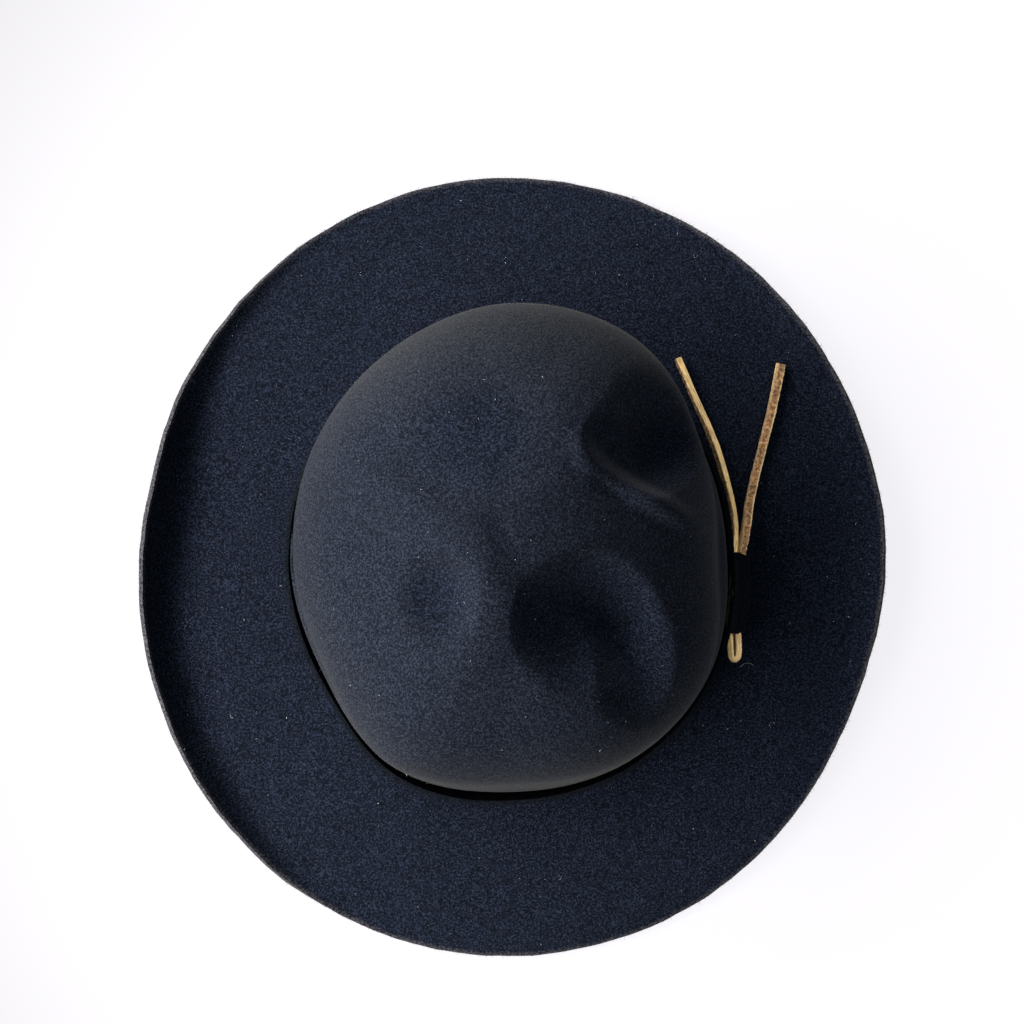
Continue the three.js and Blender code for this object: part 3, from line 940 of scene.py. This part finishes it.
# raised nap with painted sheen, painted light and painted shade, for the nap attribute
nap_and_painted_light = NAP_AND_SHEEN_ON_CROWN + PAINTED_SHEEN_AT_SHOULDER * at_shoulder + PAINTED_LIGHT_BEHIND * behind
nap_and_painted_light = smooth_step(from_axis[:, 2], 22, 75) * nap_and_painted_light * (1 - PAINTED_SHADE_IN_DENTS * dent_shade_share)
mark_points(hat, "nap", nap_and_painted_light)
hat.data.materials.append(navy_felt)
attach(hat, "root")
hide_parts("felt_body")
print("nap and painted light up to", round(float(nap_and_painted_light.max()), 2))

# %% [markdown]
# ## The band
#
# The band is a strip of the same felt, 2 mm thick and about 20 mm high, laid round the foot of the
# crown. Its felt is coloured darker than the hat's and has no sheen: painted shade, for the shade
# it lies in under the crown's overhang and in the crown's shadow. It starts as an upright ring of
# edges that is extruded upwards row by row. Two openings are cut out where the lace passes. Then
# the strip is laid against the crown, a little loose at the front, and pushed out over the lace
# between the slits.

# %% Tables of the band
BAND = 2.0
BAND_ROWS = (15.4, 17.2, 19.2, 21.0, 22.4, 24.0, 26.0, 27.6, 29.4, 31.4, 33.4, 35.0)
BAND_LOW, BAND_HIGH = BAND_ROWS[0], BAND_ROWS[-1]
CLEAR = 0.35
LACE_HEIGHT = 25.0
FRONT_SLIT = -28.2
BACK_SLIT = 5.2
SLIT_LENGTH = 3.6
BAND_REACH = 95.0
BULGE_SLACK = 1.2

# angle, how far the band's upper edge stands off the crown
BAND_STAND = [
    (0, 0.5),
    (45, 0.6),
    (90, 0.6),
    (135, 0.5),
    (180, 0.5),
    (204, 1.2),
    (226, 0.5),
    (262, 3.0),
    (292, 1.6),
    (325, 0.5),
]


def bulge(angle, height):
    """1 where the band lies over the lace, 0 where it lies on the crown."""
    y = BAND_REACH * np.sin(np.radians(angle))
    half = SLIT_LENGTH / 2
    front = smooth_step(y, FRONT_SLIT, FRONT_SLIT + half)
    back = 1 - smooth_step(y, BACK_SLIT - 2 * half, BACK_SLIT - half)
    tall = 1 - smooth_step(np.abs(height - LACE_HEIGHT), 2.2, 10.0)
    return np.where(np.cos(np.radians(angle)) > 0, front * back * tall, 0.0)


def wall_reach(angle, height):
    """Reach of the crown's wall at a height of the band, for arrays of the same length."""
    turns, back = np.unique(np.round(angle, 4), return_inverse=True)
    reach, tall = felt_lines(turns)
    foot = (len(CROWN) - 1) * BETWEEN + 1
    wall = slice(foot - 3 * BETWEEN, foot)
    result = np.zeros_like(height)
    for k in range(len(turns)):
        mine = back == k
        result[mine] = np.interp(height[mine], tall[k][wall][::-1], reach[k][wall][::-1])
    return result


print("band", BAND_HIGH - BAND_LOW, "mm high")

# %% An upright strip with two slits
BAND_COLUMNS = 720

bpy.ops.object.select_all(action="DESELECT")
bpy.ops.mesh.primitive_circle_add(
    vertices=BAND_COLUMNS, radius=BAND_REACH * MM, fill_type="NOTHING", location=(0, 0, BAND_LOW * MM)
)
band = bpy.context.object
band.name = band.data.name = "felt_band"
bpy.ops.object.transform_apply(location=True, rotation=True, scale=True)
bpy.ops.object.mode_set(mode="EDIT")
bpy.ops.mesh.select_all(action="SELECT")
for low, high in zip(BAND_ROWS, BAND_ROWS[1:]):
    bpy.ops.mesh.extrude_edges_move(TRANSFORM_OT_translate={"value": (0, 0, (high - low) * MM)})
bpy.ops.mesh.select_all(action="SELECT")
bpy.ops.mesh.normals_make_consistent(inside=False)
bpy.ops.mesh.select_all(action="DESELECT")
bpy.ops.object.mode_set(mode="OBJECT")
opened = 0
for face in band.data.polygons:
    x, y, z = (c / MM for c in face.center)
    for slit in (FRONT_SLIT, BACK_SLIT):
        if x > 0 and abs(y - slit) < SLIT_LENGTH / 2 + 0.6 and abs(z - LACE_HEIGHT) < 2.6:
            face.select = True
            opened += 1
bpy.ops.object.mode_set(mode="EDIT")
bpy.ops.mesh.select_mode(type="FACE")
bpy.ops.mesh.delete(type="FACE")
bpy.ops.object.mode_set(mode="OBJECT")
print("slits open over", opened, "faces")

# %% The strip laid against the crown
strip = points_of(band) / MM
strip_turn = np.mod(np.degrees(np.arctan2(strip[:, 1], strip[:, 0])), 360)
strip_high = strip[:, 2]
share = (strip_high - BAND_LOW) / (BAND_HIGH - BAND_LOW)
over_lace = 2 * (LACE_EDGE + CLEAR) + BULGE_SLACK
reach = (
    wall_reach(strip_turn, strip_high)
    + CLEAR
    + round_the_hat(BAND_STAND, 1, strip_turn) * share
    + over_lace * bulge(strip_turn, strip_high)
)
reach += 0.35 * share * (1 + wavy(strip, 19, 9))
strip[:, 2] += share * (0.5 * wavy(strip, 31, 11) + 0.2 * wavy(strip, 7, 12))
strip[:, 0] = reach * np.cos(np.radians(strip_turn))
strip[:, 1] = reach * np.sin(np.radians(strip_turn))
band.data.vertices.foreach_set("co", place(strip).ravel())
band.data.update()
print("band reaches", round(float(reach.min()), 1), "to", round(float(reach.max()), 1), "mm")

# %% Thickness and rounded edges of the band
first_face = band.data.polygons[0]
if first_face.normal.dot(Vector((first_face.center.x, first_face.center.y, 0))) < 0:
    band.data.flip_normals()
thicken(band, BAND, offset=1.0, rounding=0.45, segments=2)
bpy.ops.object.shade_smooth_by_angle(angle=math.radians(50))
tall = np.array([v.co.z for v in band.data.vertices]) / MM
mark_points(band, "cut", 0.6 * smooth_step(tall, BAND_HIGH - 1.6, BAND_HIGH - 0.4))
band.data.materials.append(band_felt_painted_shade)
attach(band, "root")
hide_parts("hat_band")
print("band", len(band.data.polygons), "faces")

# %% [markdown]
# ## Loose fibres, lint and hairs
#
# Nothing says felt like its loose fibres. The cut edges bristle with short ends of wool, the
# surface has a thin fuzz, and dark felt collects pale lint and a few long hairs. A fibre is a thin
# three-sided thread along a short curl. Thousands are laid down in one mesh, at places drawn with a
# fixed seed, on the felt that lies there.

# %% Threads
EDGE_THREADS = 3600
FACE_THREADS = 4200
LINT_BITS = 230


def dull_fibre(name, colour):
    """The material of loose fibres, which are too thin to show a pattern."""
    material, shader, _ = new_material(name)
    shader.inputs["Base Color"].default_value = linear(colour)
    shader.inputs["Roughness"].default_value = 0.9
    return material


wool_fibre = dull_fibre("wool_fibre_navy", "#4a505c")
lint_white = dull_fibre("lint_pale", "#a9abae")


def lay_threads(name, threads, material):
    """One mesh of thin threads, each given as its points in metres and its radius."""
    points, faces = [], []
    for line, radius in threads:
        line = np.asarray(line)
        ahead = np.gradient(line, axis=0)
        ahead /= np.linalg.norm(ahead, axis=1, keepdims=True) + 1e-12
        side = np.cross(ahead, (0.31, 0.22, 0.93))
        side /= np.linalg.norm(side, axis=1, keepdims=True) + 1e-12
        high = np.cross(side, ahead)
        base = len(points)
        for i in range(len(line)):
            thin = radius * (1.0 if 0 < i < len(line) - 1 else 0.35)
            for k in range(3):
                a = 2 * math.pi * k / 3
                points.append(line[i] + thin * (math.cos(a) * side[i] + math.sin(a) * high[i]))
        for i in range(len(line) - 1):
            for k in range(3):
                a, b = base + 3 * i + k, base + 3 * i + (k + 1) % 3
                faces.append((a, b, b + 3, a + 3))
        faces.append((base + 2, base + 1, base))
        end = base + 3 * (len(line) - 1)
        faces.append((end, end + 1, end + 2))
    mesh = bpy.data.meshes.new(name)
    mesh.from_pydata([tuple(p) for p in points], [], faces)
    mesh.materials.append(material)
    piece = bpy.data.objects.new(name, mesh)
    bpy.context.scene.collection.objects.link(piece)
    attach(piece, "root")
    print(name, len(threads), "threads,", len(faces), "faces")


def curl(start, heading, length, lift, bend, rng, steps=4):
    """Points of one curled thread from a place, with its direction, its length and how it bends."""
    heading = Vector(heading).normalized()
    side = heading.cross(Vector((0, 0, 1)))
    side = side.normalized() if side.length > 1e-3 else Vector((1, 0, 0))
    points = []
    spot = Vector(start)
    turn = rng.uniform(-bend, bend)
    for _ in range(steps + 1):
        points.append(tuple(spot))
        spot = spot + heading * (length / steps)
        heading = (heading + side * turn / steps + Vector((0, 0, lift / steps))).normalized()
    return points


# %% Fuzz on the brim's cut edge
rng = random.Random(41)
edge_threads = []
for _ in range(EDGE_THREADS):
    angle = rng.uniform(0, 360)
    edge = float(brim_edge(np.array([angle]))[0])
    c, s = math.cos(math.radians(angle)), math.sin(math.radians(angle))
    from_out = place([[(edge + 6) * c, (edge + 6) * s, 0]])[0]
    high = float(brim_top(np.array([angle]), np.array([edge - 0.4]))[0]) - rng.uniform(0.1, 2.0)
    start = Vector((from_out[0], from_out[1], max(high, 0.25) * MM))
    hit, spot, normal, _ = hat.ray_cast(start, Vector((-c, -s, 0)))
    if not hit:
        continue
    heading = normal + Vector([rng.gauss(0, 0.5) for _ in range(3)])
    length = min(rng.expovariate(1 / 0.5) + 0.25, 2.0) * MM
    thread = curl(spot, heading, length, 0.1, 1.6, rng)
    if min(p[2] for p in thread) > 0.05 * MM:
        edge_threads.append((thread, rng.uniform(0.02, 0.045) * MM))
lay_threads("cut_edge_fuzz", edge_threads, wool_fibre)


# %% Fuzz and lint on the felt's face
def on_felt(x, y):
    """The felt's top and its normal under a place given in millimetres from the axis."""
    above = place([[x, y, 200]])[0]
    hit, spot, normal, _ = hat.ray_cast(Vector(above), Vector((0, 0, -1)))
    return (spot, normal) if hit else (None, None)


rng = random.Random(17)
fuzz, lint = [], []
while len(fuzz) < FACE_THREADS:
    reach, angle = 165 * math.sqrt(rng.random()), rng.uniform(0, 2 * math.pi)
    spot, normal = on_felt(reach * math.cos(angle), reach * math.sin(angle))
    if spot is None:
        continue
    flatly = Vector([rng.gauss(0, 1) for _ in range(3)]) + normal * rng.uniform(0.2, 1.2)
    thread = curl(spot + normal * 0.04 * MM, flatly, rng.uniform(0.5, 1.6) * MM, 0.0, 2.0, rng, 3)
    fuzz.append((thread, rng.uniform(0.018, 0.035) * MM))
while len(lint) < LINT_BITS:
    reach, angle = 163 * math.sqrt(rng.random()), rng.uniform(0, 2 * math.pi)
    spot, normal = on_felt(reach * math.cos(angle), reach * math.sin(angle))
    if spot is None:
        continue
    flatly = Vector([rng.gauss(0, 1) for _ in range(3)])
    flatly = flatly - normal * flatly.dot(normal)
    thread = curl(spot + normal * 0.1 * MM, flatly, rng.uniform(0.3, 1.1) * MM, 0.0, 3.0, rng, 3)
    lint.append((thread, rng.uniform(0.03, 0.09) * MM))
lay_threads("felt_face_fuzz", fuzz, wool_fibre)
lay_threads("pale_lint", lint, lint_white)

# %% A few long hairs
# x, y in millimetres, heading in degrees, length in millimetres, how much it curls
HAIRS = [
    (80.0, 136.0, 200, 5.0, 6.0),
    (88.0, -12.6, 70, 8.0, -4.6),
    (97.0, -44.4, 62, 7.5, -2.0),
    (112.0, -68.0, 120, 5.0, 4.0),
    (-66.0, 126.0, 80, 1.2, 2.0),
    (-120.0, -64.0, 250, 3.0, 3.0),
    (20.0, -134.0, 10, 3.5, 4.0),
]
hairs = []
for x, y, heading, length, bend in HAIRS:
    line, turn = [], math.radians(heading)
    for step in range(13):
        above = Vector(place([[x, y, 200]])[0])
        spots = [piece.ray_cast(above, Vector((0, 0, -1)))[1] for piece in (hat, band)]
        top = max(spots, key=lambda spot: spot.z)
        line.append((top.x, top.y, top.z + (0.15 + 0.5 * math.sin(math.pi * step / 12)) * MM))
        x += length / 12 * math.cos(turn)
        y += length / 12 * math.sin(turn)
        turn += bend / 12
    hairs.append((line, 0.04 * MM))
lay_threads("stray_hairs", hairs, lint_white)

# %% [markdown]
# ## Nap of the lace's flesh side
#
# The rough side of the leather sheds short fibres. They are laid on the rough faces of both loose
# ends; on the outer one these lie upwards.

# %% Nap on the lace
FIBRES_ON_AN_END = 420

rng = random.Random(73)
leather_nap = dull_fibre("leather_fibre", "#a9845a")
nap = []
for name in ("leather_lace_end_outer", "leather_lace_end_inner"):
    mesh = bpy.data.objects[name].data
    rough = [f for f in mesh.polygons if f.material_index == FLESH_SIDE]
    for _ in range(FIBRES_ON_AN_END):
        face = rng.choice(rough)
        heading = face.normal + Vector([rng.gauss(0, 0.7) for _ in range(3)])
        length = rng.uniform(0.2, 0.75) * MM
        nap.append((curl(face.center, heading, length, 0.0, 1.5, rng, 3), 0.03 * MM))
lay_threads("lace_nap", nap, leather_nap)

# %% [markdown]
# ## Floor and light
#
# The hat lies on a plain floor whose own colour is dark grey. It glows: painted light that makes it
# look white and keeps the shadows on it pale. The glow fades towards the corners, sooner on the
# windows' side, so that the corners look about equally light. Two wide soft windows stand side by
# side to the left of the hat, low over it. They give the crown its dark, soft-edged shadow across
# the right half of the brim. A pale room fills the rest. A small reflector card gives the lace,
# which lies in that shadow, its light back, and light linking keeps the card's light off the felt.

# %% Floor
bpy.ops.object.select_all(action="DESELECT")
bpy.ops.mesh.primitive_plane_add(size=6, location=(0, 0, 0))
floor = bpy.context.object
floor.name = "pale_floor"
floor_painted_glow, shader, where = new_material("pale_floor_painted_glow")
# painted glow: the floor emits light of its own, strongest round a point beside the hat, fading outwards
from_middle = add_node(
    floor_painted_glow, "ShaderNodeVectorMath", {0: where}, {1: (0.16, 0.0, 0.0)}, operation="DISTANCE"
)
painted_glow = add_node(
    floor_painted_glow,
    "ShaderNodeMapRange",
    {"Value": from_middle.outputs["Value"]},
    {"From Min": 0.34, "From Max": 0.634, "To Min": 0.87, "To Max": 0.30},
)
floor_painted_glow.node_tree.links.new(painted_glow.outputs["Result"], shader.inputs["Emission Strength"])
shader.inputs["Base Color"].default_value = linear("#545355")
shader.inputs["Roughness"].default_value = 0.95
shader.inputs["Emission Color"].default_value = linear("#fdfbff")
floor.data.materials.append(floor_painted_glow)

# %% Lights
WINDOWS = (("window_back_left", 150.0), ("window_front_left", 205.0))
WINDOW_HEIGHT = 31.0
WINDOW_AWAY = 2.4
WINDOW_WIDE = 2.4
WINDOW_TALL = 1.0
WINDOW_POWER = 122.0
DAYLIGHT = (1.0, 0.985, 0.96)


def soft_light(name, azimuth, height, away, wide, tall, power, colour):
    """A soft rectangular light that looks at the hat from a direction given in degrees."""
    turn, rise = math.radians(azimuth), math.radians(height)
    at = Vector((math.cos(turn) * math.cos(rise), math.sin(turn) * math.cos(rise), math.sin(rise)))
    facing = (Vector((0, 0, 0.05)) - at * away).to_track_quat("-Z", "Y").to_euler()
    bpy.ops.object.light_add(type="AREA", location=at * away, rotation=facing)
    light = bpy.context.object
    light.name = name
    light.data.shape = "RECTANGLE"
    light.data.size, light.data.size_y = wide, tall
    light.data.energy = power
    light.data.color = colour
    return light


for name, azimuth in WINDOWS:
    soft_light(
        name, azimuth, WINDOW_HEIGHT, WINDOW_AWAY, WINDOW_WIDE, WINDOW_TALL, WINDOW_POWER, DAYLIGHT
    )
card = soft_light("reflector_for_the_lace", 5.0, 50.0, 0.9, 0.5, 0.5, 6.0, (1.0, 0.97, 0.95))
lace_pieces = bpy.data.collections.new("lace_pieces")
for name in ("leather_lace_bight", "leather_lace_end_inner", "leather_lace_end_outer", "lace_nap"):
    lace_pieces.objects.link(bpy.data.objects[name])
card.light_linking.receiver_collection = lace_pieces

world = bpy.data.worlds.new("pale_room")
bpy.context.scene.world = world
world.use_nodes = True
world.node_tree.nodes["Background"].inputs["Color"].default_value = (0.74, 0.93, 1.0, 1.0)
world.node_tree.nodes["Background"].inputs["Strength"].default_value = 0.28
bpy.context.scene.view_settings.view_transform = "Standard"
print(len(WINDOWS), "windows, and", card.name)
